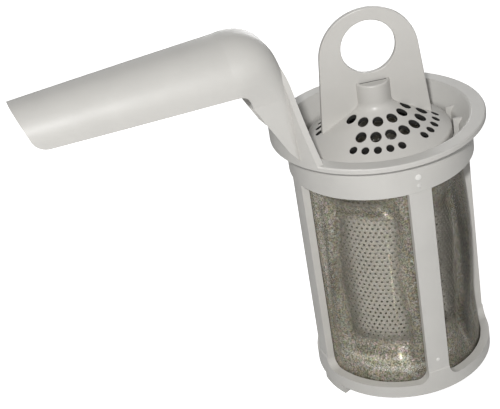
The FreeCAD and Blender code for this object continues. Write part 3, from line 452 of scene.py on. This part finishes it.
def cloth_radius(angle, height):
    """Outside of the cloth: round behind the posts, flatter by the dent in the middle of each window."""
    window = int(angle % 360 // 90)
    off = angle % 90 - 45
    half = 45 - HALF_POST
    if abs(off) >= half:
        return CLOTH_R
    steps = (CLOTH_TOP - height) / (CLOTH_TOP - CLOTH_BOTTOM) * (len(CLOTH_DENTS) - 1)
    dent = max(smooth_row([row[window] for row in CLOTH_DENTS], steps), LEAST_DENT)
    edge = CLOTH_R * math.cos(math.radians(half))
    middle = CLOTH_R - dent
    centre = (CLOTH_R ** 2 - middle ** 2) / (2 * (edge - middle))
    swing = math.radians(off)
    radius = centre * math.cos(swing) + math.sqrt((middle - centre) ** 2 - (centre * math.sin(swing)) ** 2)
    radius -= PRESS_DEPTH * pressed(angle, height, DEPTH_FADE)
    radius -= folds(angle, height)
    return min(max(radius, TUBE_R + CLEAR_OF_TUBE), CLOTH_R)


def make_cloth(outer, inner):
    """The sleeve of wire cloth, with its openness and brightness at each point, and a map in metres for its wires."""
    around, rows = CLOTH_AROUND, CLOTH_ROWS
    points, faces, slots, gaps, shades = [], [], [], [], []
    for thick in (0.0, CLOTH_THICK):
        for row in range(rows + 1):
            height = CLOTH_TOP + (CLOTH_BOTTOM - CLOTH_TOP) * row / rows
            for step in range(around):
                angle = 360 / around * step
                points.append(polar_point(cloth_radius(angle, height) - thick, angle, height))
                close = pressed(angle, height, OPEN_FADE)
                opened, shaded = cloth_marks(angle, height)
                most = PRESSED_OPEN[int(angle // 90)]
                gaps.append(min(CLOTH_CLOSED + most * close + opened, CLOTH_CLOSED + most))
                # the brightness holds painted shade and painted highlights from the cloth's marks
                shades.append(max(CLOTH_SHADE + PRESSED_SHADE * close + shaded, LEAST_SHADE))
    layer = around * (rows + 1)
    for row in range(rows):
        for step in range(around):
            a, b = row * around + step, row * around + (step + 1) % around
            faces.append((a, a + around, b + around, b))
            slots.append(0)
            faces.append((a + layer, b + layer, b + layer + around, a + layer + around))
            slots.append(1)
    for start, turn in ((0, 1), (rows * around, -1)):
        for step in range(around):
            a, b = start + step, start + (step + 1) % around
            faces.append((a, b, b + layer, a + layer)[::turn])
            slots.append(0)
    made = mesh_piece("wire_cloth_sleeve", points, faces, [outer, inner], "micro_filter", slots)
    for name, values in (("gap", gaps), ("shade", shades)):
        field = made.data.attributes.new(name, "FLOAT", "POINT")
        field.data.foreach_set("value", values)
    uv = made.data.uv_layers.new(name="cloth")
    loops = made.data.loops
    step_length = 2 * math.pi * CLOTH_R * MM / around
    for face in made.data.polygons:
        columns = [loops[i].vertex_index % layer % around for i in face.loop_indices]
        wraps = max(columns) - min(columns) > around / 2
        for i, column in zip(face.loop_indices, columns):
            across = column + (around if wraps and column == 0 else 0)
            uv.data[i].uv = (across * step_length, made.data.vertices[loops[i].vertex_index].co.z)
    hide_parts("fine_mesh")


def zipper(outer, inner):
    """Triangles between two rings of flat points round the same middle, given as index to angle."""
    outer = sorted(outer, key=lambda item: item[1])
    inner = sorted(inner, key=lambda item: item[1])
    triangles = []
    i = j = 0
    while i < len(outer) or j < len(inner):
        next_outer = outer[(i + 1) % len(outer)][1] + (360 if i + 1 >= len(outer) else 0)
        next_inner = inner[(j + 1) % len(inner)][1] + (360 if j + 1 >= len(inner) else 0)
        a, b = outer[i % len(outer)][0], inner[j % len(inner)][0]
        if j >= len(inner) or (i < len(outer) and next_outer <= next_inner):
            triangles.append((a, outer[(i + 1) % len(outer)][0], b))
            i += 1
        else:
            triangles.append((a, inner[(j + 1) % len(inner)][0], b))
            j += 1
    return triangles


def make_tube(material):
    """The tube of punched sheet: a brick pattern of cells, each with a hole."""
    half_step = 360 / HOLES_ROUND / 2
    columns = HOLES_ROUND * 2
    across = math.radians(half_step) * TUBE_R
    top = FIRST_ROW + ROW_STEP / 2
    points, faces = [], []

    def ring(radius, height):
        start = len(points)
        for column in range(columns):
            points.append(polar_point(radius, FIRST_PHASE + half_step * column, height))
        return start

    def band(upper, lower):
        for column in range(columns):
            right = (column + 1) % columns
            faces.append((upper + column, lower + column, lower + right, upper + right))

    sheets = []
    for radius in (TUBE_R, TUBE_R - TUBE_WALL):
        sheets.append([ring(radius, top - ROW_STEP * row) for row in range(ROWS + 1)])
    spin = 360 / HOLE_SIDES
    hole_shape = [(spin * (i + 0.5), SHEET_HOLE * math.cos(math.radians(spin * (i + 0.5))),
                   SHEET_HOLE * math.sin(math.radians(spin * (i + 0.5)))) for i in range(HOLE_SIDES)]
    frame = [(-across, ROW_STEP / 2), (0, ROW_STEP / 2), (across, ROW_STEP / 2),
             (-across, -ROW_STEP / 2), (0, -ROW_STEP / 2), (across, -ROW_STEP / 2)]
    frame_turns = [math.degrees(math.atan2(y, x)) % 360 for x, y in frame]
    cell = zipper([(i, frame_turns[i]) for i in range(6)],
                  [(6 + i, hole_shape[i][0]) for i in range(HOLE_SIDES)])
    for row in range(ROWS):
        for step in range(HOLES_ROUND):
            middle = step * 2 + row % 2
            angle, height = FIRST_PHASE + half_step * middle, FIRST_ROW - ROW_STEP * row
            corners = [(middle + shift) % columns for shift in (-1, 0, 1)]
            holes = []
            for sheet, radius in zip(sheets, (TUBE_R, TUBE_R - TUBE_WALL)):
                start = len(points)
                for _, x, y in hole_shape:
                    points.append(polar_point(radius, angle + math.degrees(x / TUBE_R), height + y))
                holes.append(start)
                names = [sheet[row] + c for c in corners] + [sheet[row + 1] + c for c in corners]
                names += [start + i for i in range(HOLE_SIDES)]
                turn = 1 if radius == TUBE_R else -1
                faces.extend(tuple(names[i] for i in triangle)[::turn] for triangle in cell)
            for i in range(HOLE_SIDES):
                j = (i + 1) % HOLE_SIDES
                faces.append((holes[0] + j, holes[0] + i, holes[1] + i, holes[1] + j))
    inner = TUBE_R - TUBE_WALL
    rim_out, rim_in = ring(TUBE_R, TUBE_TOP), ring(inner, TUBE_TOP)
    band(rim_out, sheets[0][0])
    band(sheets[1][0], rim_in)
    band(rim_in, rim_out)
    foot = [sheets[0][-1]]
    for turn in (0, 30, 60, 90):
        a = math.radians(turn)
        foot.append(ring(TUBE_R - TUBE_ROUND * (1 - math.cos(a)), TUBE_FOOT + TUBE_ROUND * (1 - math.sin(a))))
    foot.append(ring(inner - TUBE_LIP, TUBE_FOOT))
    foot.append(ring(inner - TUBE_LIP, TUBE_FOOT + TUBE_WALL))
    foot.append(ring(inner, TUBE_FOOT + TUBE_WALL))
    foot.append(sheets[1][-1])
    for upper, lower in zip(foot, foot[1:]):
        band(upper, lower)
    made = mesh_piece("punched_tube", points, faces, [material], "coarse_filter", smooth=False)
    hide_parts("perforated_tube")


def make_tube_floor(material):
    """The disc that closes the tube, punched like its sheet."""
    shape = bmesh.new()
    rings = [(0.0, 0.0, FLOOR_R, FLOOR_SIDES)]
    reach = FLOOR_R - FLOOR_EDGE
    rows = int(reach / (FLOOR_PITCH * HEX_ROW))
    steps = int(reach / FLOOR_PITCH) + 1
    for row in range(-rows, rows + 1):
        for step in range(-steps, steps + 1):
            x, y = (step + row % 2 / 2) * FLOOR_PITCH, row * FLOOR_PITCH * HEX_ROW
            if math.hypot(x, y) < reach:
                rings.append((x, y, SHEET_HOLE, FLOOR_HOLE_SIDES))
    edges = []
    for x, y, radius, sides in rings:
        loop = [shape.verts.new(((x + radius * math.cos(2 * math.pi * i / sides)) * MM,
                                 (y + radius * math.sin(2 * math.pi * i / sides)) * MM, FLOOR_LEVEL * MM))
                for i in range(sides)]
        edges += [shape.edges.new((loop[i], loop[(i + 1) % sides])) for i in range(sides)]
    filled = bmesh.ops.triangle_fill(shape, use_beauty=True, use_dissolve=False, edges=edges)
    flat = [item for item in filled["geom"] if isinstance(item, bmesh.types.BMFace)]
    grown = bmesh.ops.extrude_face_region(shape, geom=flat)
    lifted = [item for item in grown["geom"] if isinstance(item, bmesh.types.BMVert)]
    bmesh.ops.translate(shape, vec=(0, 0, TUBE_WALL * MM), verts=lifted)
    bmesh.ops.recalc_face_normals(shape, faces=shape.faces)
    shape.verts.index_update()
    points = [tuple(vert.co) for vert in shape.verts]
    # the fill lists its faces in no fixed order, so they are sorted; a quad starts at an end of its own diagonal
    faces = []
    for face in shape.faces:
        loop = [vert.index for vert in face.verts]
        starts = range(0, len(loop), 2 if len(loop) == 4 else 1)
        start = min(starts, key=lambda i: loop[i])
        faces.append(tuple(loop[start:] + loop[:start]))
    shape.free()
    made = mesh_piece("punched_floor", points, sorted(faces), [material], "coarse_filter", smooth=False)
    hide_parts("tube_floor")


def make_mark(name, angle, height, radius, size, material):
    """A small round moulding mark, a low dome on an upright wall."""
    points, faces = [], []
    for share, rise in MARK_SECTION:
        for i in range(MARK_SIDES):
            a = 2 * math.pi * i / MARK_SIDES
            points.append(polar_point(radius + rise, angle + math.degrees(size * share * math.cos(a) / radius),
                                      height + size * share * math.sin(a)))
    points.append(polar_point(radius + MARK_TOP, angle, height))
    points.append(polar_point(radius + MARK_SECTION[0][1], angle, height))
    for ring in range(len(MARK_SECTION) - 1):
        for i in range(MARK_SIDES):
            j = (i + 1) % MARK_SIDES
            low, high = ring * MARK_SIDES, (ring + 1) * MARK_SIDES
            faces.append((low + i, low + j, high + j, high + i))
    last, top = (len(MARK_SECTION) - 1) * MARK_SIDES, len(MARK_SECTION) * MARK_SIDES
    for i in range(MARK_SIDES):
        j = (i + 1) % MARK_SIDES
        faces.append((last + i, last + j, top))
        faces.append((j, i, top + 1))
    mesh_piece(name, points, faces, [material], "micro_filter")


# Light, floor and camera

def area_light(name, at, size, power):
    """A round lamp turned to the middle of the object."""
    light = bpy.data.lights.new(name, "AREA")
    light.shape = "DISK"
    light.size = size
    light.energy = power
    made = new_object(name, light)
    made.location = at
    made.rotation_euler = (Vector(LIGHT_AIM) - Vector(at)).to_track_quat("-Z", "Y").to_euler()


def make_world(fill):
    """White where it is seen, and a weaker fill as light."""
    world = bpy.data.worlds.new("surroundings")
    bpy.context.scene.world = world
    world.use_nodes = True
    tree = world.node_tree
    tree.nodes.clear()
    path = tree.nodes.new("ShaderNodeLightPath")
    most = path.outputs["Is Camera Ray"]
    for name in ("Is Glossy Ray", "Is Transmission Ray"):
        pick = tree.nodes.new("ShaderNodeMath")
        pick.operation = "MAXIMUM"
        tree.links.new(most, pick.inputs[0])
        tree.links.new(path.outputs[name], pick.inputs[1])
        most = pick.outputs[0]
    strength = tree.nodes.new("ShaderNodeMapRange")
    strength.inputs["To Min"].default_value = fill
    strength.inputs["To Max"].default_value = 1.0
    tree.links.new(most, strength.inputs["Value"])
    sky = tree.nodes.new("ShaderNodeBackground")
    sky.inputs["Color"].default_value = (1.0, 1.0, 1.0, 1.0)
    tree.links.new(strength.outputs[0], sky.inputs["Strength"])
    out = tree.nodes.new("ShaderNodeOutputWorld")
    tree.links.new(sky.outputs[0], out.inputs["Surface"])


def make_floor(material):
    mesh = bpy.data.meshes.new("floor")
    far = FLOOR_REACH
    mesh.from_pydata([(-far, -far, FLOOR_Z), (far, -far, FLOOR_Z), (far, far, FLOOR_Z), (-far, far, FLOOR_Z)],
                     [], [(0, 1, 2, 3)])
    mesh.materials.append(material)
    made = new_object("floor", mesh)


def make_camera():
    azimuth, elevation, roll = (math.radians(x) for x in (AZIMUTH, ELEVATION, ROLL))
    back = Vector((math.sin(azimuth) * math.cos(elevation), -math.cos(azimuth) * math.cos(elevation),
                   math.sin(elevation)))
    right = Vector((math.cos(azimuth), math.sin(azimuth), 0.0))
    up = back.cross(right)
    across = right * math.cos(roll) - up * math.sin(roll)
    upward = right * math.sin(roll) + up * math.cos(roll)
    camera = bpy.data.cameras.new("camera")
    camera.lens, camera.sensor_width, camera.sensor_fit = LENS, SENSOR, "HORIZONTAL"
    camera.shift_x, camera.shift_y = SHIFT
    camera.clip_start, camera.clip_end = 0.01, 30.0
    made = new_object("camera", camera)
    turn = Matrix((across, upward, back)).transposed().to_4x4()
    made.matrix_world = Matrix.Translation(Vector(CAMERA_AT)) @ turn
    bpy.context.scene.camera = made


def finish_node(frame, name, material):
    """Gives a node of the part its finish."""
    piece = frame["nodes"][name]
    for entry in piece.material_slots:
        entry.material = material


def main():
    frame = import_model()

    body_plastic = plastic("body_plastic", *BODY_FINISH)
    insert_plastic = plastic("insert_plastic", *INSERT_FINISH)
    cap_plastic = plastic("cap_plastic", *INSERT_FINISH, painted_shades=(slit_painted_shade, hole_painted_shade))
    steel = sheet_metal("punched_steel", STEEL_COLOUR)
    cloth = wire_cloth("wire_cloth", CLOTH_COLOUR)
    mark_highlight = plastic("mark_highlight_plastic", *MARK_HIGHLIGHT_FINISH)
    faint_mark_highlight = plastic("faint_mark_highlight_plastic", *FAINT_MARK_HIGHLIGHT_FINISH)
    clear = clear_side("wire_cloth_inside")

    for name in ("handle_ring", "filter_cage"):
        finish_node(frame, name, body_plastic)
    finish_node(frame, "coarse_cap", cap_plastic)
    finish_node(frame, "tube_collar", insert_plastic)
    finish_node(frame, "fine_mesh", cloth)
    for name in ("perforated_tube", "tube_floor"):
        finish_node(frame, name, steel)

    make_cloth(cloth, clear)
    make_tube(steel)
    make_tube_floor(steel)
    make_mark("upper_moulding_mark", *UPPER_MARK, mark_highlight)
    make_mark("middle_moulding_mark", *MIDDLE_MARK, faint_mark_highlight)
    make_mark("lower_moulding_mark", *LOWER_MARK, mark_highlight)

    make_floor(floor_material("white_floor", FLOOR_GLOW))
    make_world(SURROUNDINGS)
    for light in LIGHTS:
        area_light(*light)
    make_camera()

    bpy.context.scene.view_settings.view_transform = "Standard"


main()
